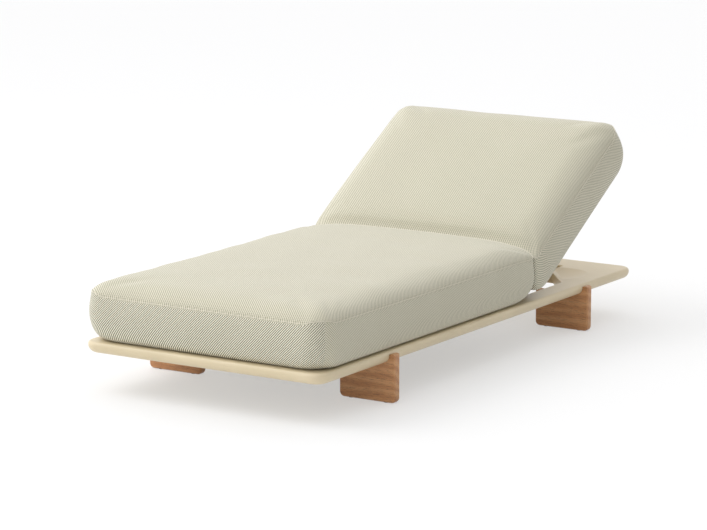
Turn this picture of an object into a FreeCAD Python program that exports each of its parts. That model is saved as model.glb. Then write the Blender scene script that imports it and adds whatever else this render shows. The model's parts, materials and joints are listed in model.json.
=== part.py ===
import FreeCAD, Part
import math
import os

os.makedirs("parts", exist_ok=True)
V = FreeCAD.Vector

# Sun lounger, millimetres. The foot end is at -Y, the head end at +Y, the floor at Z = 0.

# Platform
LENGTH = 2000.0
WIDTH = 892.0
TOP = 163.0
THICK = 36.5
BOTTOM = TOP - THICK
ABOVE = 2 * TOP
CORNER_R = 50.0
NOSE_R = 25.0
NOSE_TOP_R = 11.0
WALL = 4.0
RAIL = 78.0
OPEN_X = WIDTH / 2 - RAIL
OPEN_FOOT_Y = RAIL - LENGTH / 2
OPEN_HEAD_Y = 745.0
GUSSET_SIDE_Y = 615.0
GUSSET_HEAD_X = 265.0
OPEN_CORNER_R = 22.0
EDGE_R = 4.0
SLOT_HEAD_Y = 880.0
SLOT_FLOOR = 146.0
# Recess in each corner behind the well's slanted bead, cut by a large ball
BEAD = 14.0
DISH_X = 280.0
DISH_Y = 750.0
DISH_DEPTH = 14.0
DISH_BALL_R = 386.0

# Seat deck
LEDGE = 18.0
SLAT_T = 12.0
SLAT_WALL = 1.6
DECK_END_Y = 290.0
DECK_SLATS = 10
DECK_GAP = 20.0
SLIDE_GAP = 0.5
SCREW_R = 2.0
SCREW_HEAD_R = 4.0
SCREW_HEAD = 2.4
SCREW_LONG = 20.0
SCREW_ROOM = 0.1

# Feet
FOOT_IN_X = 263.0
FOOT_OUT_X = 467.0
FOOT_T = 30.0
FOOT_FRONT_Y = -619.0
FOOT_REAR_Y = 623.0
FOOT_TIP = 156.0
FOOT_EDGE_R = 7.0
FOOT_CORNER_R = 16.0
FOOT_LIP_ANGLE = 6.0
NOSE_ROOM = 0.2
GLIDE_R = 9.0
GLIDE_T = 1.2
GLIDE_X = (300.0, 428.0)
BOLT_X = (388.0, 424.0)
BOLT_R = 4.0
BOLT_HEAD_R = 7.0
BOLT_HEAD = 8.0
BOLT_LONG = 60.0
BOLT_IN = 16.0
BOLT_HEAD_TOP = BOTTOM - BOLT_LONG + BOLT_IN
BOLT_ROOM = 0.2
BOSS_R = 13.0

# Backrest hinge and its rest angle
HINGE_Y = 366.0
HINGE_Z = 150.0
REST = 31.0
ARM_X = 212.0
ARM_W = 24.0
ARM_DEEP = 14.0
ARM_TOP = 14.0
ARM_THIN = 1.0
ARM_DEEP_END_Y = 698.0
ARM_THIN_Y = 730.0
ARM_END_Y = 868.0
ARM_BEND_R = 12.0
ARM_TIP_R = 4.0
ARM_WAY = 4.0
EAR_T = 6.0
EAR_ROOM = 0.5
EAR_R = 13.0
EAR_CORNER_R = 2.0
PIN_R = 6.0
PIN_TAIL = 2.0
PIN_HEAD = 4.0
PIN_HEAD_R = 9.0
BUSH_R = 8.0
RUN_ROOM = 0.05
BEAM_Y = 300.0
BEAM_W = 36.0
BEAM_BOTTOM = 133.0
BEAM_H = 27.0
BEAM_WALL = 3.0
BRACKET_T = 6.0
BRACKET_DROP = 3.0
# Straight length left on a fully rounded end
ROUND_LEFT = 0.1

# Backrest slats
BACK_SLATS = 7
BACK_SLAT_W = 56.0
BACK_SLAT_PITCH = 70.0
BACK_SLAT_START = 22.0
BACK_SLAT_X = 362.0
BACK_SLAT_R = 8.0
BACK_SLAT_END = 10.0

# Prop and racks
PROP_L = 183.0
PROP_X = 184.0
PROP_W = 12.0
PROP_H = 22.0
SHAFT_R = 8.0
SHAFT_TAIL = 2.0
CLIP_R = 12.0
CLIP_T = 2.0
BAR_R = 6.5
SLEEVE_R = 8.0
SLEEVE_OVER = 3.0
RACK_X = 161.0
RACK_W = 22.0
RACK_BOTTOM = 118.0
RACK_ROOM = 0.5
NOTCH_DROP = 2.0
STOP_ANGLES = (16.0, 24.0, 31.0, 38.0, 45.0)
PAD_R = 9.0
PAD_Y = 835.0

# Cushions
CUSHION_X = 452.0
SEAT_FOOT_Y = -996.0
CREASE_Y = 285.0
CREASE_Z = 345.0
CUSHION_T = 189.7
BACK_HEAD_Y = 992.0
JOIN_ROOM = 0.4
SIT_ROOM = 0.3
CORNER_FOOT_R = 78.0
CORNER_JOIN_R = 24.0
CORNER_SPREAD = 0.3
COVER_WALL = 8.0
CORE_SIDE = 50.0
CORE_BASE = 16.0
CORE_CROWN = 52.0
CORE_WALL = 5.0
# Height up the cushion as a share, draw-in of the sides, and draw-in of the end at the fold
SWELL = (
    (0.00, 40.0, 36.0),
    (0.09, 22.0, 15.0),
    (0.25, 6.0, 3.0),
    (0.46, 0.0, 0.0),
    (0.67, 3.0, 0.0),
    (0.80, 14.0, 3.0),
    (0.89, 36.0, 9.0),
    (0.95, 75.0, 20.0),
    (0.985, 150.0, 50.0),
    (1.00, 260.0, 110.0),
)


def box(x0, x1, y0, y1, z0, z1):
    return Part.makeBox(x1 - x0, y1 - y0, z1 - z0, V(x0, y0, z0))


def rod(x0, x1, y, z, r):
    return Part.makeCylinder(r, x1 - x0, V(x0, y, z), V(1, 0, 0))


def post(x, y, z0, z1, r):
    return Part.makeCylinder(r, z1 - z0, V(x, y, z0), V(0, 0, 1))


def rounded(corners, z=0.0):
    """A closed wire through corners (x, y, radius), each corner an arc."""
    edges = []
    ends = []
    count = len(corners)
    for i in range(count):
        x, y, r = corners[i]
        here = V(x, y, z)
        back = V(corners[i - 1][0], corners[i - 1][1], z) - here
        on = V(corners[(i + 1) % count][0], corners[(i + 1) % count][1], z) - here
        back.normalize()
        on.normalize()
        half = back.getAngle(on) / 2
        reach = r / math.tan(half)
        middle = back + on
        middle.normalize()
        centre = here + middle * (r / math.sin(half))
        ends.append((here + back * reach, centre - middle * r, here + on * reach))
    for i in range(count):
        start, mid, end = ends[i]
        edges.append(Part.Arc(start, mid, end).toShape())
        edges.append(Part.LineSegment(end, ends[(i + 1) % count][0]).toShape())
    return Part.Wire(edges)


def slab(corners, z0, z1, grow=0.0):
    wire = rounded(corners)
    if grow:
        wire = wire.makeOffset2D(grow)
    solid = Part.Face(wire).extrude(V(0, 0, z1 - z0))
    solid.translate(V(0, 0, z0))
    return solid


def side_plate(corners, x0, x1):
    """Corners (y, z, radius) of a side outline, thick from x0 to x1."""
    solid = slab(corners, x0, x1)
    solid.rotate(V(0, 0, 0), V(1, 1, 1), 120)
    return solid


def rectangle(x0, x1, y0, y1, r):
    return [(x0, y0, r), (x1, y0, r), (x1, y1, r), (x0, y1, r)]


def soften(solid, radius, wanted):
    return solid.makeFillet(radius, [e for e in solid.Edges if wanted(e.BoundBox)])


def mirrored(shape):
    return shape.mirror(V(0, 0, 0), V(1, 0, 0))


def both(shape):
    return [shape, mirrored(shape)]


def group(shapes):
    return Part.makeCompound(shapes)


def raised(shape):
    """Turns a backrest piece from lying flat to its rest angle."""
    shape.rotate(V(0, HINGE_Y, HINGE_Z), V(1, 0, 0), REST)
    return shape


def save(name, shape):
    shape.exportStep("parts/" + name + ".step")
    print(name, len(shape.Solids), "solids", round(shape.Volume / 1000.0, 1), "cm3", shape.isValid())


FOOT_PLACES = (("front", FOOT_FRONT_Y), ("rear", FOOT_REAR_Y))
DECK_FOOT_Y = OPEN_FOOT_Y - LEDGE
DECK_ROOM = DECK_END_Y - DECK_FOOT_Y - (DECK_SLATS + 1) * SLIDE_GAP
DECK_SLAT_W = (DECK_ROOM - (DECK_SLATS - 1) * DECK_GAP) / DECK_SLATS
DECK_PITCH = DECK_SLAT_W + DECK_GAP + SLIDE_GAP
DECK_SCREW_X = OPEN_X + LEDGE / 2


def deck_slat_y(i):
    return DECK_FOOT_Y + SLIDE_GAP + i * DECK_PITCH


def deck_screw_places():
    places = []
    for i in range(DECK_SLATS):
        for side in (-1, 1):
            places.append((side * DECK_SCREW_X, deck_slat_y(i) + DECK_SLAT_W / 2))
    return places


def bolt_places():
    places = []
    for name, y in FOOT_PLACES:
        for x in BOLT_X:
            for side in (-1, 1):
                places.append((side * x, y + FOOT_T / 2))
    return places


def platform_body(inset):
    """The platform's outside, or its cavity when it is drawn in by inset."""
    x = WIDTH / 2 - inset
    y = LENGTH / 2 - inset
    body = slab(rectangle(-x, x, -y, y, CORNER_R - inset), BOTTOM + inset, TOP - inset)
    body = soften(body, NOSE_TOP_R - inset, lambda b: b.ZMin > TOP - inset - 0.01)
    body = soften(body, NOSE_R - inset, lambda b: b.ZMax < BOTTOM + inset + 0.01)
    opening = [
        (-OPEN_X, OPEN_FOOT_Y, OPEN_CORNER_R),
        (OPEN_X, OPEN_FOOT_Y, OPEN_CORNER_R),
        (OPEN_X, GUSSET_SIDE_Y, OPEN_CORNER_R),
        (GUSSET_HEAD_X, OPEN_HEAD_Y, OPEN_CORNER_R),
        (-GUSSET_HEAD_X, OPEN_HEAD_Y, OPEN_CORNER_R),
        (-OPEN_X, GUSSET_SIDE_Y, OPEN_CORNER_R),
    ]
    body = body.cut(slab(opening, 0.0, ABOVE, inset))
    ledge_x = OPEN_X + LEDGE + inset
    ledge_y = (DECK_FOOT_Y - inset, DECK_END_Y + inset)
    body = body.cut(box(-ledge_x, ledge_x, *ledge_y, TOP - SLAT_T - inset, ABOVE))
    way = ARM_W / 2 + ARM_WAY + inset
    slot_y = (OPEN_HEAD_Y - 1, SLOT_HEAD_Y + inset)
    for slot in both(box(ARM_X - way, ARM_X + way, *slot_y, SLOT_FLOOR - inset, ABOVE)):
        body = body.cut(slot)
    return body


def dish(inset):
    """The recess behind a slanted bead, or the room that its wall takes when it is swollen by inset."""
    ball = Part.makeSphere(DISH_BALL_R + inset, V(DISH_X, DISH_Y, TOP - DISH_DEPTH + DISH_BALL_R))
    bead = box(-LENGTH, BEAD - inset, -LENGTH, LENGTH, 0.0, 2 * DISH_BALL_R + ABOVE)
    bead.translate(V(GUSSET_HEAD_X, OPEN_HEAD_Y, 0))
    slant = math.degrees(math.atan2(OPEN_X - GUSSET_HEAD_X, OPEN_HEAD_Y - GUSSET_SIDE_Y))
    bead.rotate(V(GUSSET_HEAD_X, OPEN_HEAD_Y, 0), V(0, 0, 1), slant)
    return ball.cut(bead)


def platform():
    cavity = platform_body(WALL)
    for room in both(dish(WALL)):
        cavity = cavity.cut(room)
    for x, y in bolt_places():
        cavity = cavity.cut(post(x, y, 0.0, ABOVE, BOSS_R))
    shell = soften(platform_body(0.0), EDGE_R, is_soft_edge)
    for hollow in both(dish(0.0)):
        shell = shell.cut(hollow)
    shell = shell.cut(cavity)
    for x, y in bolt_places():
        shell = shell.cut(post(x, y, BOTTOM - 1, BOTTOM + BOLT_IN, BOLT_R + BOLT_ROOM))
    for x, y in deck_screw_places():
        shell = shell.cut(post(x, y, TOP - SCREW_LONG - 2, TOP, SCREW_R + SCREW_ROOM))
    return shell


def is_soft_edge(b):
    """The top edges round the backrest well and the arm slots, headwards of the deck."""
    level = abs(b.ZMax - TOP) < 0.01 and b.ZLength < 0.01
    inside = abs(b.Center.x) < OPEN_X + 1 and b.YMax < SLOT_HEAD_Y + 1
    return level and inside and b.YMin > DECK_END_Y + 5


def deck_slat(i):
    x = OPEN_X + LEDGE - SLIDE_GAP
    y = deck_slat_y(i)
    slat = box(-x, x, y, y + DECK_SLAT_W, TOP - SLAT_T, TOP)
    hollow_x = OPEN_X - LEDGE
    slat = slat.cut(box(-hollow_x, hollow_x, y + SLAT_WALL, y + DECK_SLAT_W - SLAT_WALL,
                        TOP - SLAT_T + SLAT_WALL, TOP - SLAT_WALL))
    for side in (-1, 1):
        place = (side * DECK_SCREW_X, y + DECK_SLAT_W / 2)
        slat = slat.cut(post(*place, TOP - SLAT_T - 1, TOP + 1, SCREW_R + SCREW_ROOM))
        slat = slat.cut(post(*place, TOP - SCREW_HEAD - SCREW_ROOM, TOP + 1, SCREW_HEAD_R + SCREW_ROOM))
    return slat


def screw(x, y, top):
    head = post(x, y, top - SCREW_HEAD, top, SCREW_HEAD_R)
    return head.fuse(post(x, y, top - SCREW_LONG, top - SCREW_HEAD, SCREW_R))


def foot(y):
    """A wooden plate under the rail whose outer tip rises round the platform's nose."""
    nose = V(WIDTH / 2 - NOSE_R, BOTTOM + NOSE_R, 0)
    clear = NOSE_R + NOSE_ROOM
    lip = math.radians(FOOT_LIP_ANGLE)
    turn = lip / 2 - math.pi / 4
    under = V(nose.x, nose.y - clear, 0)
    beside = nose + V(clear * math.cos(turn), clear * math.sin(turn), 0)
    above = nose + V(clear * math.cos(lip), clear * math.sin(lip), 0)
    tip = V((above.x + FOOT_OUT_X) / 2 + 1, FOOT_TIP, 0)
    outside = V(FOOT_OUT_X, nose.y, 0)
    r = FOOT_CORNER_R
    bend = r * (1 - math.sqrt(0.5))
    out_low = V(FOOT_OUT_X, GLIDE_T + r, 0)
    out_base = V(FOOT_OUT_X - r, GLIDE_T, 0)
    in_base = V(FOOT_IN_X + r, GLIDE_T, 0)
    in_low = V(FOOT_IN_X, GLIDE_T + r, 0)
    in_top = V(FOOT_IN_X, BOTTOM - NOSE_ROOM, 0)
    edges = [
        Part.LineSegment(in_top, under),
        Part.Arc(under, beside, above),
        Part.Arc(above, tip, outside),
        Part.LineSegment(outside, out_low),
        Part.Arc(out_low, V(FOOT_OUT_X - bend, GLIDE_T + bend, 0), out_base),
        Part.LineSegment(out_base, in_base),
        Part.Arc(in_base, V(FOOT_IN_X + bend, GLIDE_T + bend, 0), in_low),
        Part.LineSegment(in_low, in_top),
    ]
    plate = Part.Face(Part.Wire([e.toShape() for e in edges])).extrude(V(0, 0, -FOOT_T))
    plate.rotate(V(0, 0, 0), V(1, 0, 0), 90)
    plate.translate(V(0, y, 0))
    plate = soften(plate, FOOT_EDGE_R, is_foot_rim)
    for x in BOLT_X:
        middle = y + FOOT_T / 2
        plate = plate.cut(post(x, middle, 0, BOLT_HEAD_TOP + BOLT_ROOM, BOLT_HEAD_R + BOLT_ROOM))
        plate = plate.cut(post(x, middle, 0, TOP, BOLT_R + BOLT_ROOM))
    return plate


def is_foot_rim(b):
    """The edges round a foot's two faces, up to the height where its tip begins."""
    flat = b.YLength < 0.01
    return flat and b.ZMax < BOTTOM + NOSE_R + 0.1 and b.ZMin < BOTTOM - 1


def foot_bolt(x, y):
    head = post(x, y, BOLT_HEAD_TOP - BOLT_HEAD, BOLT_HEAD_TOP, BOLT_HEAD_R)
    return head.fuse(post(x, y, BOLT_HEAD_TOP, BOLT_HEAD_TOP + BOLT_LONG, BOLT_R))


def glides():
    return [post(side * x, y + FOOT_T / 2, 0.0, GLIDE_T, GLIDE_R)
            for name, y in FOOT_PLACES for x in GLIDE_X for side in (-1, 1)]


def hinge_beam():
    top = BEAM_BOTTOM + BEAM_H
    tube = box(-OPEN_X, OPEN_X, BEAM_Y, BEAM_Y + BEAM_W, BEAM_BOTTOM, top)
    return tube.cut(box(-OPEN_X - 1, OPEN_X + 1, BEAM_Y + BEAM_WALL, BEAM_Y + BEAM_W - BEAM_WALL,
                        BEAM_BOTTOM + BEAM_WALL, top - BEAM_WALL))


def hinge_bracket():
    """A clevis on the beam: a back plate and two ears round the arm's end."""
    reach = ARM_W / 2 + EAR_ROOM
    half = reach + EAR_T
    face = BEAM_Y + BEAM_W
    low = HINGE_Z - EAR_R
    high = HINGE_Z + EAR_R
    parts = [box(ARM_X - half, ARM_X + half, face, face + BRACKET_T, low, high - BRACKET_DROP)]
    end_r = EAR_R - ROUND_LEFT
    ear = [(face, low, EAR_CORNER_R), (HINGE_Y + EAR_R, low, end_r),
           (HINGE_Y + EAR_R, high, end_r), (face, high, EAR_CORNER_R)]
    for x in (ARM_X - reach - EAR_T, ARM_X + reach):
        parts.append(side_plate(ear, x, x + EAR_T))
    solid = parts[0].fuse(parts[1:]).removeSplitter()
    return solid.cut(rod(0, OPEN_X, HINGE_Y, HINGE_Z, PIN_R))


def hinge_pin():
    reach = ARM_W / 2 + EAR_ROOM + EAR_T
    shank = rod(ARM_X - reach - PIN_TAIL, ARM_X + reach, HINGE_Y, HINGE_Z, PIN_R)
    return shank.fuse(rod(ARM_X + reach, ARM_X + reach + PIN_HEAD, HINGE_Y, HINGE_Z, PIN_HEAD_R))


def hinge_bush():
    tube = rod(ARM_X - ARM_W / 2, ARM_X + ARM_W / 2, HINGE_Y, HINGE_Z, BUSH_R)
    return tube.cut(rod(0, OPEN_X, HINGE_Y, HINGE_Z, PIN_R + RUN_ROOM))


def back_arm():
    """A deep arm from hinge to prop that thins where it lies in its slot."""
    low = HINGE_Z - ARM_DEEP
    top = HINGE_Z + ARM_TOP
    end_r = ARM_DEEP - ROUND_LEFT
    outline = [
        (HINGE_Y - ARM_DEEP, low, end_r),
        (ARM_DEEP_END_Y, low, ARM_BEND_R),
        (ARM_THIN_Y, HINGE_Z + ARM_THIN, ARM_BEND_R),
        (ARM_END_Y, HINGE_Z + ARM_THIN, ARM_TIP_R),
        (ARM_END_Y, top, ARM_TIP_R),
        (HINGE_Y - ARM_DEEP, top, end_r),
    ]
    arm = side_plate(outline, ARM_X - ARM_W / 2, ARM_X + ARM_W / 2)
    arm = arm.cut(rod(0, OPEN_X, HINGE_Y, HINGE_Z, BUSH_R))
    arm = arm.cut(rod(0, OPEN_X, HINGE_Y + PROP_L, HINGE_Z, SHAFT_R))
    for i in range(BACK_SLATS):
        y = back_slat_y(i) + BACK_SLAT_W / 2
        arm = arm.cut(post(ARM_X, y, top - SCREW_LONG, top + 1, SCREW_R + SCREW_ROOM))
    return arm


def back_slat_y(i):
    return HINGE_Y + BACK_SLAT_START + i * BACK_SLAT_PITCH


def back_slat(i):
    y = back_slat_y(i)
    low = HINGE_Z + ARM_TOP
    top = low + SLAT_T
    slat = slab(rectangle(-BACK_SLAT_X, BACK_SLAT_X, y, y + BACK_SLAT_W, BACK_SLAT_R), low, top)
    solid_x = SCREW_HEAD_R * 2
    hollow_y = (y + SLAT_WALL, y + BACK_SLAT_W - SLAT_WALL)
    hollow_z = (low + SLAT_WALL, top - SLAT_WALL)
    outer = box(ARM_X + solid_x, BACK_SLAT_X - BACK_SLAT_END, *hollow_y, *hollow_z)
    middle = box(solid_x - ARM_X, ARM_X - solid_x, *hollow_y, *hollow_z)
    for hollow in both(outer) + [middle]:
        slat = slat.cut(hollow)
    for side in (-1, 1):
        place = (side * ARM_X, y + BACK_SLAT_W / 2)
        slat = slat.cut(post(*place, low - 1, top + 1, SCREW_R + SCREW_ROOM))
        slat = slat.cut(post(*place, top - SCREW_HEAD - SCREW_ROOM, top + 1, SCREW_HEAD_R + SCREW_ROOM))
    return slat


def back_screws():
    top = HINGE_Z + ARM_TOP + SLAT_T
    screws = []
    for i in range(BACK_SLATS):
        screws += both(screw(ARM_X, back_slat_y(i) + BACK_SLAT_W / 2, top))
    return [raised(s) for s in screws]


def prop_shaft():
    reach = ARM_X + ARM_W / 2 + CLIP_T + SHAFT_TAIL
    return rod(-reach, reach, HINGE_Y + PROP_L, HINGE_Z, SHAFT_R)


def shaft_clip():
    x = ARM_X + ARM_W / 2
    ring = rod(x, x + CLIP_T, HINGE_Y + PROP_L, HINGE_Z, CLIP_R)
    return ring.cut(rod(0, OPEN_X, HINGE_Y + PROP_L, HINGE_Z, SHAFT_R))


def propped(shape):
    """Turns a prop piece from lying in line with the arms to standing on the racks."""
    shape.rotate(V(0, HINGE_Y + PROP_L, HINGE_Z), V(1, 0, 0), -2 * REST)
    return raised(shape)


def prop_arm():
    near = HINGE_Y + PROP_L
    far = near + PROP_L
    h = PROP_H / 2
    r = h - ROUND_LEFT
    outline = rectangle(near - h, far + h, HINGE_Z - h, HINGE_Z + h, r)
    arm = side_plate(outline, PROP_X - PROP_W / 2, PROP_X + PROP_W / 2)
    arm = arm.cut(rod(0, OPEN_X, near, HINGE_Z, SHAFT_R + RUN_ROOM))
    return arm.cut(rod(0, OPEN_X, far, HINGE_Z, BAR_R))


def foot_bar():
    reach = PROP_X + PROP_W / 2
    return rod(-reach, reach, HINGE_Y + 2 * PROP_L, HINGE_Z, BAR_R)


def foot_sleeve():
    y = HINGE_Y + 2 * PROP_L
    tube = rod(RACK_X - RACK_W / 2 - SLEEVE_OVER, PROP_X - PROP_W / 2 - SLIDE_GAP, y, HINGE_Z, SLEEVE_R)
    return tube.cut(rod(0, OPEN_X, y, HINGE_Z, BAR_R))


def rack():
    """A bar from the hinge beam to the head wall, notched where the foot bar can stand."""
    top = HINGE_Z - SLEEVE_R - RACK_ROOM
    bar = box(RACK_X - RACK_W / 2, RACK_X + RACK_W / 2, BEAM_Y + BEAM_W, OPEN_HEAD_Y, RACK_BOTTOM, top)
    for angle in STOP_ANGLES:
        y = HINGE_Y + 2 * PROP_L * math.cos(math.radians(angle))
        bar = bar.cut(rod(0, OPEN_X, y, top - NOTCH_DROP, SLEEVE_R + RACK_ROOM))
    return bar


def rest_pads():
    return both(post(ARM_X, PAD_Y, SLOT_FLOOR, HINGE_Z + ARM_THIN - SIT_ROOM, PAD_R))


def pillow(end_y, join_y, low, inset=0.0):
    """A crowned cushion with drawn-in sides, between its free end and the end at the fold."""
    toward = 1.0 if join_y > end_y else -1.0
    wires = []
    for share, side_in, join_in in SWELL:
        z = low + inset + share * (CUSHION_T - 2 * inset)
        x = CUSHION_X - side_in - inset
        free = end_y + toward * (side_in + inset)
        join = join_y - toward * (join_in + inset)
        free_r = CORNER_FOOT_R - inset
        join_r = CORNER_JOIN_R + CORNER_SPREAD * side_in
        corners = [(-x, free, free_r), (x, free, free_r), (x, join, join_r), (-x, join, join_r)]
        wires.append(rounded(corners, z))
    return Part.makeLoft(wires, True, True)


def cushion(end_y, join_y, low):
    cover = pillow(end_y, join_y, low).cut(pillow(end_y, join_y, low, COVER_WALL))
    y0, y1 = sorted((end_y, join_y))
    x = CUSHION_X - CORE_SIDE
    r = CORNER_FOOT_R / 2
    y0 += CORE_SIDE
    y1 -= CORE_SIDE
    z0 = low + CORE_BASE
    z1 = low + CUSHION_T - CORE_CROWN
    core = slab(rectangle(-x, x, y0, y1, r), z0, z1)
    w = CORE_WALL
    return cover, core.cut(slab(rectangle(-x + w, x - w, y0 + w, y1 - w, r - w), z0 + w, z1 - w))


def folded(shape):
    shape.rotate(V(0, CREASE_Y, CREASE_Z), V(1, 0, 0), REST)
    return shape


save("platform", platform())
for name, y in FOOT_PLACES:
    for side, shape in zip(("right", "left"), both(foot(y))):
        save("foot_" + name + "_" + side, shape)
save("foot_glides", group(glides()))
save("foot_bolts", group([foot_bolt(x, y) for x, y in bolt_places()]))
for i in range(DECK_SLATS):
    save("deck_slat_" + str(i + 1), deck_slat(i))
save("deck_screws", group([screw(x, y, TOP) for x, y in deck_screw_places()]))
save("hinge_beam", hinge_beam())
for side, flip in (("right", lambda s: s), ("left", mirrored)):
    save("hinge_bracket_" + side, flip(hinge_bracket()))
    save("hinge_pin_" + side, flip(hinge_pin()))
    save("hinge_bush_" + side, raised(flip(hinge_bush())))
    save("back_arm_" + side, raised(flip(back_arm())))
    save("rack_" + side, flip(rack()))
    save("prop_arm_" + side, propped(flip(prop_arm())))
    save("foot_sleeve_" + side, propped(flip(foot_sleeve())))
for i in range(BACK_SLATS):
    save("back_slat_" + str(i + 1), raised(back_slat(i)))
save("back_slat_screws", group(back_screws()))
save("prop_shaft", raised(prop_shaft()))
save("shaft_clips", raised(group(both(shaft_clip()))))
save("prop_foot_bar", propped(foot_bar()))
save("rest_pads", group(rest_pads()))
seat_cover, seat_core = cushion(SEAT_FOOT_Y, CREASE_Y - JOIN_ROOM, TOP + SIT_ROOM)
save("seat_cushion", seat_cover)
save("seat_foam", seat_core)
back_low = HINGE_Z + ARM_TOP + SLAT_T + SIT_ROOM
back_cover, back_core = cushion(BACK_HEAD_Y, CREASE_Y + JOIN_ROOM, back_low)
save("back_cushion", folded(back_cover))
save("back_foam", folded(back_core))
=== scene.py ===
"""Looks of the sun lounger: two mattress cushions, their seams, and the finish of every surface."""
import json
import math

import bpy
import numpy as np
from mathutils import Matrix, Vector


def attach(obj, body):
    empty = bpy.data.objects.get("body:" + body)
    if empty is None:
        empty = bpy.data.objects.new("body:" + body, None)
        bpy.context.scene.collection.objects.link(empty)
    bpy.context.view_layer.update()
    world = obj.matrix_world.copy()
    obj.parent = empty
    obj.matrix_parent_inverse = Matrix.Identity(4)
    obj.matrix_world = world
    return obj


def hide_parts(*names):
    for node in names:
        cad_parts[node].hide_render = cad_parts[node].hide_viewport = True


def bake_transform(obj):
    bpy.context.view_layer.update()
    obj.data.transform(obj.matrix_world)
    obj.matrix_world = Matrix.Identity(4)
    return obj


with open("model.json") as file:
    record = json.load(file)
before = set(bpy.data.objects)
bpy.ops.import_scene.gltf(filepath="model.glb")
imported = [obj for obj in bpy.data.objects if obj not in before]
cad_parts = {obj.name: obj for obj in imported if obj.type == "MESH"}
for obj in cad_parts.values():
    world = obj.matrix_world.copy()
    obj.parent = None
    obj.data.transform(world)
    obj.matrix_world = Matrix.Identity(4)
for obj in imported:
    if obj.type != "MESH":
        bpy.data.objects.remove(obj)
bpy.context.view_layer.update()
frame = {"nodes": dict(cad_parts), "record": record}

MM = 0.001

# Cushions, in millimetres, lying flat. The fold between them is at FOLD_Y, FOLD_Z, and the back's lower end
# bends from upright to FOLD_ANGLE over FOLD_REACH.
HALF_WIDTH = 454.0
FOLD_Y = 285.0
FOLD_Z = 345.0
FOLD_ANGLE = 31.0
FOLD_REACH = 47.0
JOIN_ROOM = 0.4

# Plan: how much wider the corners' rounds are at the base and tighter at the top, the rounds at the fold,
# and where on its round, in degrees, a corner is sewn
BASE_CORNER_MORE = 14.0
CORNER_LESS = 8.0
JOIN_CORNER_R = 7.0
LEAST_R = 6.0
SEAM_ANGLE = 53

# How far the boxing draws in: in its seams, at half its length and height, and below the top's seam
SEAM_SINK = 2.4
SIDE_WAIST = 5.0
SEAM_IN = 5.0
SEAM_IN_FROM = 0.62

# Top panel: droop of its corners at the fold, along and across, and the length over which its crown grows
DROOP = 15.0
DROOP_REACH = (70.0, 95.0)
CROWN_REACH = 150.0

# Mesh: points across, rows of the boxing as shares of its height, rings of the top and of the base
ACROSS = 62
BOX_ROWS = (0.0, 0.05, 0.11, 0.18, 0.26, 0.36, 0.47, 0.58, 0.69, 0.79, 0.87, 0.93, 0.97, 1.0)
TOP_RINGS = (3.0, 7.0, 12.0, 18.0, 25.0, 33.0, 42.0, 53.0, 66.0, 82.0)
BASE_RINGS = (60.0, 50.0, 40.0, 30.0, 20.0, 10.0)

# Hollow of the back's underside over the slats: its half width, its end and the width of its slope
HOLLOW_X = 376.0
HOLLOW_Y = 888.0
HOLLOW_SLOPE = 20.0

# Filling: the cloth's steps, pressure and cap, where the cover is held, and its unevenness
SIM_FRAMES = 20
SIM_PRESSURE = 4.0
SIM_CAP = 7.0
HELD_LOW = 20.0
HELD_JOIN = 12.0
RIPPLE = 1.1
RIPPLE_WAVES = 7
RIPPLE_LENGTHS = (110.0, 320.0)
RIPPLE_EDGE = 60.0

# Stitches, and the cord in the seam: its radius and how far it stands out of and above the seam
STITCH_PITCH = 6.5
STITCH_LONG = 4.4
STITCH_R = 0.55
STITCH_SIDES = 6
STITCH_ENDS = ((0.0, 0.35), (0.2, 1.0), (0.8, 1.0), (1.0, 0.35))
STITCH_UP = 0.1
WELT_SIDES = 8
WELT = (1.0, 0.6, 0.2)
WELT_FOLD = (2.0, -1.0, 1.0)

# Twill: distance between its ribs, and which way they run as a turn of each panel's own coordinates
RIB = 5.6
RIB_TURN = {"top": 45.0, "base": 45.0, "end": -45.0, "side": 45.0}
# Tones from the sunk threads to the ribs: the panels, and the ends of the boxing, with painted shade between
# their ribs and a painted highlight on them
PANEL_TONES = ((0.10, "#8d8c74"), (0.50, "#c4c0aa"), (0.92, "#e6e0ce"))
END_PAINTED_RIB_TONES = ((0.20, "#43452f"), (0.52, "#b9b69d"), (0.84, "#fbf6e6"))

# Studio: the floor's white veil, and the surround's level and its rise towards left, front and above
FLOOR_SIZE = 80.0
FLOOR_VEIL = 0.46
LEVEL = 0.735
FROM_LEFT = 1.0
FROM_FRONT = -0.05
FROM_ABOVE = 0.76
KEY_PLACE = (-3.6, -2.2, 4.8)
KEY_AIM = (0.0, 0.0, 0.3)
KEY_SIZE = 3.6
KEY_POWER = 95.0

# Camera of the photograph
AZIMUTH = math.radians(32.56)
ELEVATION = math.radians(11.05)
CAMERA_PLACE = (5.3198, -8.4554, 2.2365)
LENS = 157.08
SENSOR = 36.0
FARTHEST = 200.0


class Cushion:
    """Sizes of one cushion lying flat.

    ends are the free one and the one at the fold, heights the underside and the top's seam. roll is the
    width and rise of the rolled edge, crown the swell within it, dip the top's drop at the fold and its
    reach. base is how far the sides draw in below and over what height, tuck the same for the end at the
    fold. hollow is how far the underside rises over the backrest's slats.
    """

    def __init__(self, name, ends, heights, corner_r, roll, crown, dip, base, tuck, along, hollow=0.0):
        self.name = name
        self.free_y, self.join_y = ends
        self.low, self.seam = heights
        self.corner_r = corner_r
        self.roll, self.roll_up = roll
        self.crown = crown
        self.dip, self.dip_reach = dip
        self.draw, self.round = base
        self.tuck, self.tuck_round = tuck
        self.along = along
        self.hollow = hollow
        self.toward = 1.0 if self.join_y > self.free_y else -1.0
        self.columns = 2 * (ACROSS + along)


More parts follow.
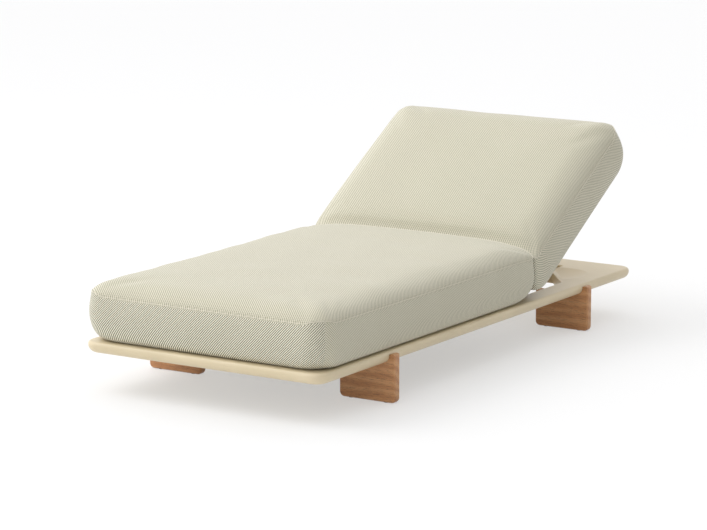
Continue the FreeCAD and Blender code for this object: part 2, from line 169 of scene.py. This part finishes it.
SEAT = Cushion(
    "seat_mattress", ends=(-997.0, FOLD_Y - JOIN_ROOM), heights=(163.2, 302.0), corner_r=72.0,
    roll=(60.0, 42.0), crown=16.0, dip=(6.0, 8.0), base=(36.0, 80.0), tuck=(130.0, 70.0), along=92,
)
BACK = Cushion(
    "back_mattress", ends=(988.0, FOLD_Y + JOIN_ROOM), heights=(163.3, 300.0), corner_r=82.0,
    roll=(86.0, 53.0), crown=17.0, dip=(30.0, 22.0), base=(33.0, 80.0), tuck=(60.0, 62.0), along=52,
    hollow=13.3,
)


def smooth(t):
    """From nothing to one, level at both ends."""
    t = np.clip(t, 0.0, 1.0)
    return t * t * (3 - 2 * t)


def round_in(share):
    """A quarter round: one at the bottom, nothing from a share of one upwards."""
    return 1 - np.sqrt(1 - np.clip(1 - share, 0, 1) ** 2)


def lengths(points):
    """How far along a line of points each one lies."""
    return np.concatenate(([0.0], np.cumsum(np.linalg.norm(np.diff(points, axis=0), axis=1))))


def unit(vectors):
    """Vectors of a list, each brought to length one."""
    return vectors / np.linalg.norm(vectors, axis=1)[:, None]


def edge_distance(c, x, y):
    """How far a point is inside the seam of the sides and the free end, round their corners."""
    r = c.corner_r - CORNER_LESS
    side = r - (HALF_WIDTH - SEAM_IN - np.abs(x))
    end = r - (c.toward * (y - c.free_y) - SEAM_IN)
    outside = np.hypot(np.maximum(side, 0), np.maximum(end, 0))
    return np.maximum(r - outside - np.minimum(np.maximum(side, end), 0), 0)


def rise(c, d):
    """How far the top panel stands above its seam at distance d: a rolled edge and a slow crown."""
    rolled = np.sqrt(1 - np.clip(1 - d / c.roll, 0, 1) ** 2)
    return c.roll_up * rolled + c.crown * (1 - np.exp(-d / CROWN_REACH))


def top_height(c, x, y):
    """Height of the top panel, with its dip towards the fold and its drooping corners there."""
    swell = rise(c, edge_distance(c, x, y))
    away = np.abs(y - c.join_y)
    dip = c.dip * np.exp(-away / c.dip_reach)
    side = HALF_WIDTH - np.abs(x)
    droop = DROOP * np.exp(-(away / DROOP_REACH[0]) ** 2 - (side / DROOP_REACH[1]) ** 2)
    return c.seam + swell - (dip + droop) * swell / (c.roll_up + c.crown)


def spread(c, x, y):
    """A point of the top panel laid out flat, so that the weave isn't stretched over the rolled edge."""
    d = np.concatenate((np.linspace(0, 8, 81), np.linspace(9, 160, 152)))
    longer = np.hypot(np.diff(d), np.diff(rise(c, d))) - np.diff(d)
    longer = np.concatenate((np.cumsum(longer[::-1])[::-1], [0.0]))
    side = HALF_WIDTH - SEAM_IN - np.abs(x)
    end = c.toward * (y - c.free_y) - SEAM_IN
    return x + np.sign(x) * np.interp(side, d, longer), y - c.toward * np.interp(end, d, longer)


def outline(half, y0, y1, r0, r1, along):
    """Points round a rounded rectangle, counted from one corner's seam to the next, and their run."""
    corners = (
        (r0 - half, y0 + r0, r0, 180, 90 - SEAM_ANGLE),
        (half - r0, y0 + r0, r0, 270, SEAM_ANGLE),
        (half - r1, y1 - r1, r1, 0, 90 - SEAM_ANGLE),
        (r1 - half, y1 - r1, r1, 90, SEAM_ANGLE),
    )
    points = []
    marks = []
    for cx, cy, r, start, mark in corners:
        turn = np.radians(start + np.arange(91))
        marks.append(len(points) + mark)
        points += list(zip(cx + r * np.cos(turn), cy + r * np.sin(turn)))
    points = np.array(points + points[:1])
    length = lengths(points)
    at = [length[m] for m in marks]
    at.append(at[0] + length[-1])
    places = []
    for i, count in enumerate((ACROSS, along, ACROSS, along)):
        places.append(at[i] + (at[i + 1] - at[i]) * np.arange(count) / count)
    run = np.concatenate(places)
    ring = np.stack([np.interp(run % length[-1], length, points[:, k]) for k in (0, 1)], axis=1)
    return ring, run


def ring_at(c, side_in, join_in, free_r):
    """One ring of the cushion's plan, drawn in from the sides and free end and from the fold."""
    free = c.free_y + c.toward * side_in
    join = c.join_y - c.toward * join_in
    free_r = max(free_r, LEAST_R)
    join_r = max(JOIN_CORNER_R - min(side_in, join_in), LEAST_R)
    if c.toward > 0:
        return outline(HALF_WIDTH - side_in, free, join, free_r, join_r, c.along)
    return outline(HALF_WIDTH - side_in, join, free, join_r, free_r, c.along)


def inward(ring):
    """Unit directions into a ring, square to it."""
    ahead = unit(np.roll(ring, -1, axis=0) - np.roll(ring, 1, axis=0))
    return np.column_stack((-ahead[:, 1], ahead[:, 0]))


def base_height(c, x, y):
    """Height of the underside: hollow over the backrest's slats, lower round them."""
    past = np.maximum(np.abs(x) - HOLLOW_X, y - HOLLOW_Y)
    return c.low + c.hollow * (1 - smooth(past / HOLLOW_SLOPE))


def box_row(c, share, seam_z, corners):
    """One ring of the boxing at a share of its height, drawn in below, at its waist and in its seams."""
    h = share * (c.seam - c.low)
    lower = round_in(h / c.round)
    draw = c.draw * lower + SEAM_IN * smooth((share - SEAM_IN_FROM) / (1 - SEAM_IN_FROM))
    tuck = c.tuck * round_in(h / c.tuck_round)
    flat, _ = ring_at(c, draw, tuck, c.corner_r + BASE_CORNER_MORE * lower)
    base = base_height(c, flat[:, 0], flat[:, 1])
    z = base + share * (seam_z - base)
    along_share = np.abs(flat[:, 1] - c.free_y) / abs(c.join_y - c.free_y)
    waist = SIDE_WAIST * np.sin(np.pi * np.clip(along_share, 0, 1)) * math.sin(math.pi * share)
    on_side = np.abs(flat[:, 0]) > HALF_WIDTH - draw - 2.0
    flat[:, 0] -= np.sign(flat[:, 0]) * waist * on_side
    sink = SEAM_SINK if share == 1.0 else 0.0
    flat += inward(flat) * np.maximum(sink, SEAM_SINK * corners)[:, None]
    return np.column_stack((flat, z))


def cushion_rings(c):
    """Rings of points of a cushion lying flat from base to top, their panels, and the seam's run."""
    full, run = ring_at(c, SEAM_IN, 0.0, c.corner_r)
    seam_z = top_height(c, full[:, 0], full[:, 1])
    corners = np.zeros(c.columns)
    corners[[0, ACROSS, ACROSS + c.along, 2 * ACROSS + c.along]] = 1.0
    rings = []
    for inner in BASE_RINGS:
        flat, _ = ring_at(c, c.draw + inner, c.tuck + inner, c.corner_r + BASE_CORNER_MORE - inner)
        rings.append(np.column_stack((flat, base_height(c, flat[:, 0], flat[:, 1]))))
    for share in BOX_ROWS:
        rings.append(box_row(c, share, seam_z, corners))
    for inner in TOP_RINGS:
        flat, _ = ring_at(c, SEAM_IN + inner, inner, c.corner_r - inner)
        rings.append(np.column_stack((flat, top_height(c, flat[:, 0], flat[:, 1]))))
    panels = ["base"] * len(BASE_RINGS) + ["box"] * len(BOX_ROWS) + ["top"] * len(TOP_RINGS)
    return rings, panels, run


def patch(ring, along):
    """Fills a ring with a grid whose lines join opposite points of the ring."""
    south = ring[:ACROSS + 1]
    east = ring[ACROSS:ACROSS + along + 1]
    north = ring[ACROSS + along:2 * ACROSS + along + 1][::-1]
    west = np.concatenate((ring[2 * ACROSS + along:], ring[:1]))[::-1]
    u = (np.arange(ACROSS + 1) / ACROSS)[:, None, None]
    v = (np.arange(along + 1) / along)[None, :, None]
    edges = (1 - v) * south[:, None] + v * north[:, None] + (1 - u) * west[None] + u * east[None]
    corners = (1 - u) * (1 - v) * south[0] + u * (1 - v) * south[-1]
    return edges - corners - (1 - u) * v * north[0] - u * v * north[-1]


def grid_index(c, first, count):
    """Numbers of the points of a filled ring: those of the ring itself, then new ones from count on."""
    index = np.zeros((ACROSS + 1, c.along + 1), int)
    inside = (ACROSS - 1, c.along - 1)
    index[1:-1, 1:-1] = count + np.arange(inside[0] * inside[1]).reshape(inside)
    across = np.arange(ACROSS + 1)
    along = np.arange(c.along + 1)
    index[:, 0] = first + across
    index[-1, :] = first + ACROSS + along
    index[:, -1] = first + 2 * ACROSS + c.along - across
    index[0, 1:] = first + (c.columns - along[1:]) % c.columns
    return index


def build_cushion(c):
    """The closed mesh of a cushion lying flat: points, quads, each quad's panel, and weave coordinates."""
    rings, panels, run = cushion_rings(c)
    after = np.append(run[1:], 2 * run[-1] - run[-2])
    points = list(np.concatenate(rings))
    quads = []
    kinds = []
    runs = []
    for k in range(len(rings) - 1):
        panel = "base" if panels[k] == "base" else panels[k + 1]
        for i in range(c.columns):
            here = k * c.columns + i
            beside = k * c.columns + (i + 1) % c.columns
            quads.append((here, beside, beside + c.columns, here + c.columns))
            runs.append((run[i], after[i], after[i], run[i]))
            on_end = i < ACROSS or ACROSS + c.along <= i < 2 * ACROSS + c.along
            kinds.append(("end" if on_end else "side") if panel == "box" else panel)
    for ring, panel in ((0, "base"), (len(rings) - 1, "top")):
        grid = patch(rings[ring], c.along)
        height = top_height if panel == "top" else base_height
        grid[..., 2] = height(c, grid[..., 0], grid[..., 1])
        index = grid_index(c, ring * c.columns, len(points))
        points += list(grid[1:-1, 1:-1].reshape(-1, 3))
        for i in range(ACROSS):
            for j in range(c.along):
                corner = (index[i, j], index[i + 1, j], index[i + 1, j + 1], index[i, j + 1])
                quads.append(corner if panel == "top" else corner[::-1])
                runs.append((0, 0, 0, 0))
                kinds.append(panel)
    points = np.array(points)
    return points, quads, kinds, weave_of(c, points[np.ravel(quads)], kinds, np.ravel(runs))


def weave_of(c, at, kinds, run):
    """Weave coordinates in metres of each quad's corners, the first one counted across the ribs.

    A panel is laid out flat: the boxing by its run and height, the top unrolled, the base as it lies.
    """
    kind = np.repeat(kinds, 4)
    boxing = (kind == "end") | (kind == "side")
    top_x, top_y = spread(c, at[:, 0], at[:, 1])
    flat_x = np.select((boxing, kind == "top"), (run, top_x), at[:, 0])
    flat_y = np.select((boxing, kind == "top"), (at[:, 2], top_y), at[:, 1])
    angle = np.radians(np.repeat([RIB_TURN[k] for k in kinds], 4))
    across = flat_x * np.cos(angle) + flat_y * np.sin(angle)
    down = flat_y * np.cos(angle) - flat_x * np.sin(angle)
    return np.column_stack((across, down)) * MM


def make_mesh(name, points, quads):
    """A new object from points in millimetres."""
    mesh = bpy.data.meshes.new(name)
    mesh.from_pydata((np.asarray(points) * MM).tolist(), [], [tuple(int(v) for v in q) for q in quads])
    mesh.update()
    thing = bpy.data.objects.new(name, mesh)
    bpy.context.scene.collection.objects.link(thing)
    return thing


def per_point(mesh, key):
    """A vector of every point of a mesh, its place or its normal."""
    values = np.zeros(len(mesh.vertices) * 3, np.float32)
    mesh.vertices.foreach_get(key, values)
    return values.reshape(-1, 3).astype(float)


def set_coordinates(thing, co):
    """Moves the points of a mesh."""
    thing.data.vertices.foreach_set("co", co.astype(np.float32).ravel())
    thing.data.update()


def puff(thing, held):
    """Swells the cover between its seams with cloth under pressure, each point by less than the cap."""
    group = thing.vertex_groups.new(name="held")
    group.add([int(i) for i in held], 1.0, "REPLACE")
    cloth = thing.modifiers.new("cover", "CLOTH")
    cloth.settings.quality = 4
    cloth.settings.use_pressure = True
    cloth.settings.uniform_pressure_force = SIM_PRESSURE
    cloth.settings.vertex_group_mass = "held"
    cloth.settings.effector_weights.gravity = 0.0
    cloth.settings.bending_stiffness = 2.0
    cloth.point_cache.frame_start = 1
    cloth.point_cache.frame_end = SIM_FRAMES
    before = per_point(thing.data, "co")
    for step in range(1, SIM_FRAMES + 1):
        bpy.context.scene.frame_set(step)
    swollen = thing.evaluated_get(bpy.context.evaluated_depsgraph_get())
    move = per_point(swollen.data, "co") - before
    far = np.linalg.norm(move, axis=1)
    share = SIM_CAP * MM / (far + SIM_CAP * MM)
    thing.modifiers.remove(cloth)
    thing.vertex_groups.remove(group)
    bpy.context.scene.frame_set(1)
    set_coordinates(thing, before + move * share[:, None])


def ripple(points, seed):
    """Small unevenness of a filled cover, the same on every run."""
    draw = np.random.default_rng(seed)
    total = np.zeros(len(points))
    for _ in range(RIPPLE_WAVES):
        heading = draw.normal(size=3)
        heading /= np.linalg.norm(heading)
        wave = draw.uniform(*RIPPLE_LENGTHS)
        total += np.sin(points @ heading * 2 * math.pi / wave + draw.uniform(0, 6.28))
    return RIPPLE * total / math.sqrt(RIPPLE_WAVES)


def fold(points):
    """Bends a flat cushion up about the fold, its end at the fold staying upright."""
    away = points[:, 1:] - np.array((FOLD_Y, FOLD_Z))
    angle = np.radians(FOLD_ANGLE) * smooth(away[:, 0] / FOLD_REACH)
    y = FOLD_Y + away[:, 0] * np.cos(angle) - away[:, 1] * np.sin(angle)
    z = FOLD_Z + away[:, 0] * np.sin(angle) + away[:, 1] * np.cos(angle)
    return np.column_stack((points[:, 0], y, z))


def subdivide(thing):
    """One smooth subdivision, applied."""
    finer = thing.modifiers.new("finer", "SUBSURF")
    finer.levels = 1
    finer.uv_smooth = "PRESERVE_BOUNDARIES"
    bpy.context.view_layer.update()
    graph = bpy.context.evaluated_depsgraph_get()
    made = thing.evaluated_get(graph)
    mesh = bpy.data.meshes.new_from_object(made, preserve_all_data_layers=True, depsgraph=graph)
    thing.modifiers.clear()
    thing.data = mesh
    mesh.shade_smooth()


def cushion(c, seed, cloths):
    """A finished cushion at rest, swollen and a little uneven, with its seam's ring and the one above it."""
    points, quads, kinds, weave = build_cushion(c)
    thing = make_mesh(c.name, points, quads)
    for cloth in cloths:
        thing.data.materials.append(cloth)
    # Ends of the boxing take the second cloth, the copy with painted rib shade and highlight
    thing.data.polygons.foreach_set("material_index", [int(kind == "end") for kind in kinds])
    layer = thing.data.uv_layers.new(name="weave")
    layer.data.foreach_set("uv", weave.astype(np.float32).ravel())
    seam_first = (len(BASE_RINGS) + len(BOX_ROWS) - 1) * c.columns
    seam_end = seam_first + c.columns
    low = points[:, 2] < c.low + HELD_LOW
    at_join = np.abs(points[:, 1] - c.join_y) < HELD_JOIN
    held = set(np.nonzero(low | at_join)[0]) | set(range(seam_first, seam_end))
    puff(thing, sorted(held))
    co = per_point(thing.data, "co") / MM
    above = co[:, 2] - c.low - c.hollow
    free = smooth(above / RIPPLE_EDGE) * smooth(np.abs(co[:, 1] - c.join_y) / RIPPLE_EDGE)
    co += per_point(thing.data, "normal") * (ripple(co, seed) * free)[:, None]
    if c is BACK:
        co = fold(co)
    set_coordinates(thing, co * MM)
    subdivide(thing)
    return thing, co[seam_first:seam_end], co[seam_end:seam_end + c.columns]


def skin(rows, sides, first=0, closed=False):
    """Quads joining rings of points that follow each other, from point number first on."""
    quads = []
    for row in range(rows if closed else rows - 1):
        low = first + row * sides
        high = first + (row + 1) % rows * sides
        for k in range(sides):
            n = (k + 1) % sides
            quads.append((low + k, low + n, high + n, high + k))
    return quads


def stitches(name, seam, above):
    """A row of thread stitches just above a seam, each a short rounded bar."""
    line = above + (above - seam) * STITCH_UP
    loop = np.concatenate((line, line[:1]))
    length = lengths(loop)
    count = int(length[-1] / STITCH_PITCH)
    points = []
    quads = []
    for i in range(count):
        middle = (i + 0.5) * length[-1] / count
        at = middle + np.array((-0.5, 0.5)) * STITCH_LONG
        start, end = np.stack([np.interp(at, length, loop[:, k]) for k in range(3)], axis=1)
        ahead = (end - start) / np.linalg.norm(end - start)
        up = np.cross(ahead, (0.0, 0.0, 1.0))
        up /= max(np.linalg.norm(up), 1e-6)
        other = np.cross(ahead, up)
        quads += skin(len(STITCH_ENDS), STITCH_SIDES, first=len(points))
        for share, thick in STITCH_ENDS:
            centre = start + (end - start) * share
            for k in range(STITCH_SIDES):
                a = 2 * math.pi * k / STITCH_SIDES
                points.append(centre + STITCH_R * thick * (up * math.cos(a) + other * math.sin(a)))
    thing = make_mesh(name, points, quads)
    thing.data.shade_smooth()
    return thing


def welt(name, c, seam, above):
    """A thin sewn cord lying in the whole seam of a cushion, a little thicker along the fold."""
    line = (seam + above) / 2
    ahead = unit(np.roll(line, -1, axis=0) - np.roll(line, 1, axis=0))
    up = unit(np.cross(ahead, np.cross((0.0, 0.0, 1.0), ahead)))
    side = np.cross(ahead, up)
    first = ACROSS + c.along if c.toward > 0 else 0
    sizes = np.tile(WELT, (len(line), 1))
    sizes[first:first + ACROSS + 1] = WELT_FOLD
    radius, out, lift = (sizes[:, k:k + 1] for k in range(3))
    line = line + side * out + up * lift
    turns = [2 * math.pi * k / WELT_SIDES for k in range(WELT_SIDES)]
    points = np.stack([line + radius * (up * math.cos(a) + side * math.sin(a)) for a in turns], axis=1)
    thing = make_mesh(name, points.reshape(-1, 3), skin(len(line), WELT_SIDES, closed=True))
    thing.data.shade_smooth()
    return thing


def linear(code):
    """A web colour as linear red, green, blue and one."""
    parts = [int(code[i:i + 2], 16) / 255 for i in (1, 3, 5)]
    return tuple(v / 12.92 if v <= 0.04045 else ((v + 0.055) / 1.055) ** 2.4 for v in parts) + (1.0,)


class Nodes:
    """A short way to add and join nodes of a tree. Noise and mapping scales are repeats per metre."""

    def __init__(self, tree):
        self.tree = tree

    def add(self, kind, inputs=(), **settings):
        node = self.tree.nodes.new("ShaderNode" + kind)
        for key, value in settings.items():
            setattr(node, key, value)
        for key, value in dict(inputs).items():
            self.put(node, key, value)
        return node

    def put(self, node, key, value):
        if isinstance(value, bpy.types.NodeSocket):
            self.tree.links.new(value, node.inputs[key])
        else:
            node.inputs[key].default_value = value

    def math(self, operation, a, b=0.0, c=0.0):
        return self.add("Math", {0: a, 1: b, 2: c}, operation=operation).outputs[0]

    def scaled(self, value, gain, start):
        return self.math("MULTIPLY_ADD", value, gain, start)

    def wave(self, phase):
        return self.scaled(self.math("SINE", phase), 0.5, 0.5)

    def total(self, *terms):
        """The sum of values, each times its share."""
        value, share = terms[0]
        result = self.math("MULTIPLY", value, share)
        for value, share in terms[1:]:
            result = self.scaled(value, share, result)
        return result

    def mixed(self, factor, first, second):
        """Two shaders mixed."""
        inputs = {0: factor, 1: first.outputs[0], 2: second.outputs[0]}
        return self.add("MixShader", inputs).outputs[0]

    def straight(self):
        """One for what is seen directly, mirrored or through glass, nothing for scattered light."""
        ray = self.add("LightPath").outputs
        seen = self.math("MAXIMUM", ray["Is Camera Ray"], ray["Is Glossy Ray"])
        return self.math("MAXIMUM", seen, ray["Is Transmission Ray"])


class Material(Nodes):
    """A new material with one shader."""

    def __init__(self, name):
        self.made = bpy.data.materials.new(name)
        self.made.use_nodes = True
        super().__init__(self.made.node_tree)
        self.shader = self.tree.nodes["Principled BSDF"]

    def ramp(self, factor, stops):
        node = self.add("ValToRGB", {0: factor})
        steps = node.color_ramp.elements
        while len(steps) < len(stops):
            steps.new(0.5)
        for step, (at, code) in zip(steps, stops):
            step.position = at
            step.color = linear(code)
        return node.outputs[0]

    def mix(self, factor, a, b):
        return self.add("Mix", {0: factor, 6: a, 7: b}, data_type="RGBA").outputs[2]

    def noise(self, where, scale, detail=3.0, rough=0.5):
        inputs = {"Vector": where, "Scale": scale, "Detail": detail, "Roughness": rough}
        return self.add("TexNoise", inputs).outputs[0]

    def stretched(self, where, scale):
        return self.add("Mapping", {"Vector": where, "Scale": scale}).outputs[0]

    def place(self):
        return self.add("TexCoord").outputs["Object"]

    def bump(self, height, distance, strength):
        inputs = {"Height": height, "Distance": distance, "Strength": strength}
        self.put(self.shader, "Normal", self.add("Bump", inputs).outputs[0])

    def shade(self, **values):
        for key, value in values.items():
            self.put(self.shader, key.replace("_", " "), value)
        return self.made


def twill(name, tones):
    """Thick two-tone outdoor twill: cream ribs with sage threads sunk between them, fuzzy at a low angle."""
    m = Material(name)
    where = m.add("UVMap", uv_map="weave").outputs[0]
    split = m.add("SeparateXYZ", {0: where}).outputs
    across = m.total((split[0], 1.0), (m.noise(where, 55.0, 2.0), 0.0022))
    turns = 2 * math.pi / (RIB * MM)
    rib = m.wave(m.math("MULTIPLY", across, turns))
    float_end = m.wave(m.total((split[1], turns * 0.8), (across, turns * 0.5)))
    yarn = m.noise(where, 900.0, 2.0)
    woven = m.total((rib, 0.74), (float_end, 0.14), (yarn, 0.22))
    cloud = m.noise(where, 9.0, 4.0)
    faded = m.mix(m.math("MULTIPLY", cloud, 0.22), m.ramp(woven, tones), linear(tones[1][1]))
    m.bump(woven, 0.0011, 0.55)
    return m.shade(Base_Color=faded, Roughness=0.92, Specular_IOR_Level=0.25,
                   Sheen_Weight=0.28, Sheen_Roughness=0.45)


def thread():
    """Plain cream sewing thread and cord, a little shinier than the cloth."""
    m = Material("cream_thread")
    strand = m.noise(m.place(), 1800.0, 2.0)
    return m.shade(Base_Color=m.ramp(strand, ((0.3, "#d5cfbc"), (0.7, "#e6e1d1"))), Roughness=0.6)


def lacquer():
    """Sand-coloured satin lacquer on metal: a broad soft highlight and a faint orange-peel skin."""
    m = Material("sand_satin_lacquer")
    where = m.place()
    cloud = m.noise(where, 5.0, 4.0)
    m.bump(m.noise(where, 420.0, 2.0), 0.0004, 0.08)
    return m.shade(Base_Color=m.ramp(cloud, ((0.25, "#d5c5a2"), (0.75, "#e0d0af"))),
                   Roughness=m.scaled(m.noise(where, 60.0, 3.0), 0.12, 0.34),
                   Coat_Weight=0.12, Coat_Roughness=0.3)


def hardwood():
    """Oiled brown hardwood, its grain lying across the lounger: bands of early and late wood, open pores."""
    m = Material("oiled_hardwood_grain")
    where = m.place()
    wander = m.noise(m.stretched(where, (3.0, 9.0, 9.0)), 2.2, 3.0)
    split = m.add("SeparateXYZ", {0: where}).outputs
    height = m.total((split[2], 1.0), (split[1], 0.45))
    band = m.wave(m.total((height, 190.0), (wander, 9.0)))
    fibre = m.noise(m.stretched(where, (14.0, 420.0, 420.0)), 1.0, 5.0, 0.65)
    pores = m.noise(m.stretched(where, (45.0, 1500.0, 1500.0)), 1.0, 2.0)
    solid = m.ramp(pores, ((0.30, "#000000"), (0.42, "#ffffff")))
    grain = m.total((band, 0.30), (fibre, 0.70))
    tone = m.ramp(grain, ((0.22, "#ae774c"), (0.52, "#c89262"), (0.85, "#d9aa7d")))
    m.bump(m.total((fibre, 1.0), (solid, 0.4)), 0.0005, 0.25)
    return m.shade(Base_Color=m.mix(solid, linear("#5a3a26"), tone), Roughness=0.48,
                   Coat_Weight=0.08, Coat_Roughness=0.35)


def steel():
    """Brushed stainless steel, its fine lines running along each bar."""
    m = Material("brushed_stainless")
    lines = m.noise(m.stretched(m.place(), (20.0, 1400.0, 1400.0)), 1.0, 3.0)
    return m.shade(Base_Color=m.ramp(lines, ((0.3, "#b4b2ae"), (0.7, "#c9c7c3"))),
                   Roughness=m.scaled(lines, 0.18, 0.22), Metallic=1.0)


def moulded(name, dark, light, rough, grain, depth):
    """A moulded plastic, rubber or foam with a fine surface grain."""
    m = Material(name)
    speck = m.noise(m.place(), grain, 3.0)
    m.bump(speck, depth, 0.3)
    return m.shade(Base_Color=m.ramp(speck, ((0.3, dark), (0.7, light))), Roughness=rough)


FINISHES = {
    "lacquered_aluminium": lacquer(),
    "oiled_hardwood": hardwood(),
    "nylon": moulded("dark_nylon", "#2c2b29", "#353431", 0.45, 700.0, 0.0003),
    "stainless_steel": steel(),
    "rubber": moulded("black_rubber", "#191918", "#232322", 0.85, 900.0, 0.0003),
    "foam": moulded("pale_foam", "#e2d6ae", "#eee4c4", 0.95, 450.0, 0.001),
}
for entry in frame["record"]["subparts"]:
    finish = FINISHES.get(entry["material_slot"])
    if finish:
        surfaces = frame["nodes"][entry["node"]].data.materials
        surfaces.clear()
        surfaces.append(finish)

# The second cloth, for the ends of the boxing, is the same twill with painted shade in its grooves and a
# painted highlight on its ribs
cloths = (twill("cream_sage_twill", PANEL_TONES), twill("end_twill_painted_rib_shade", END_PAINTED_RIB_TONES))
sewing = thread()
seat, seat_seam, seat_above = cushion(SEAT, 3, cloths)
back, back_seam, back_above = cushion(BACK, 8, cloths)
seat_welt = welt("seat_welt", SEAT, seat_seam, seat_above)
back_welt = welt("back_welt", BACK, back_seam, back_above)
seat_thread = stitches("seat_stitching", seat_seam, seat_above)
back_thread = stitches("back_stitching", back_seam, back_above)

for piece in (seat_thread, back_thread, seat_welt, back_welt):
    piece.data.materials.append(sewing)
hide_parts("seat_cushion")
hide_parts("back_cushion")
for piece in (seat, seat_thread, seat_welt):
    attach(piece, "base")

# The back's pieces, already bent at the fold, have their placement baked into their points
for piece in (back, back_thread, back_welt):
    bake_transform(piece)

# A pale floor that keeps the object's shadow
bpy.ops.mesh.primitive_plane_add(size=FLOOR_SIZE)
floor = bpy.context.object
floor.name = "studio_floor"
paper = Material("white_paper_floor")
floor.data.materials.append(paper.shade(Base_Color=linear("#f0f0ef"), Roughness=0.9, Specular_IOR_Level=0.1))
glow = paper.add("Emission", {"Color": (1, 1, 1, 1), "Strength": 1.0})
veil = paper.mixed(paper.math("MULTIPLY", paper.straight(), FLOOR_VEIL), paper.shader, glow)
paper.put(paper.tree.nodes["Material Output"], 0, veil)

# A surround that is seen as white, and lights more from the left and from above
world = bpy.data.worlds.new("studio")
bpy.context.scene.world = world
world.use_nodes = True
world.node_tree.nodes.clear()
sky = Nodes(world.node_tree)
way = sky.add("SeparateXYZ", {0: sky.add("TexCoord").outputs["Generated"]}).outputs
level = LEVEL
for axis, gain in enumerate((-FROM_LEFT, -FROM_FRONT, FROM_ABOVE)):
    level = sky.scaled(way[axis], gain * LEVEL, level)
lighting = sky.add("Background", {"Color": linear("#fdfdff"), "Strength": level})
white = sky.add("Background", {"Color": (1, 1, 1, 1), "Strength": 1.0})
sky.put(sky.add("OutputWorld"), 0, sky.mixed(sky.straight(), lighting, white))

# One broad soft light from the upper left
lamp = bpy.data.lights.new("key", "AREA")
lamp.size = KEY_SIZE
lamp.energy = KEY_POWER
key = bpy.data.objects.new("key", lamp)
bpy.context.scene.collection.objects.link(key)
key.location = KEY_PLACE
key.rotation_euler = (Vector(KEY_AIM) - Vector(KEY_PLACE)).to_track_quat("-Z", "Y").to_euler()

lens = bpy.data.cameras.new("camera")
lens.sensor_width = SENSOR
lens.lens = LENS
lens.clip_end = FARTHEST
camera = bpy.data.objects.new("camera", lens)
bpy.context.scene.collection.objects.link(camera)
camera.location = CAMERA_PLACE
level_way = math.cos(ELEVATION)
sight = Vector((-math.sin(AZIMUTH) * level_way, math.cos(AZIMUTH) * level_way, -math.sin(ELEVATION)))
camera.rotation_euler = sight.to_track_quat("-Z", "Y").to_euler()
bpy.context.scene.camera = camera
bpy.context.scene.view_settings.view_transform = "Standard"
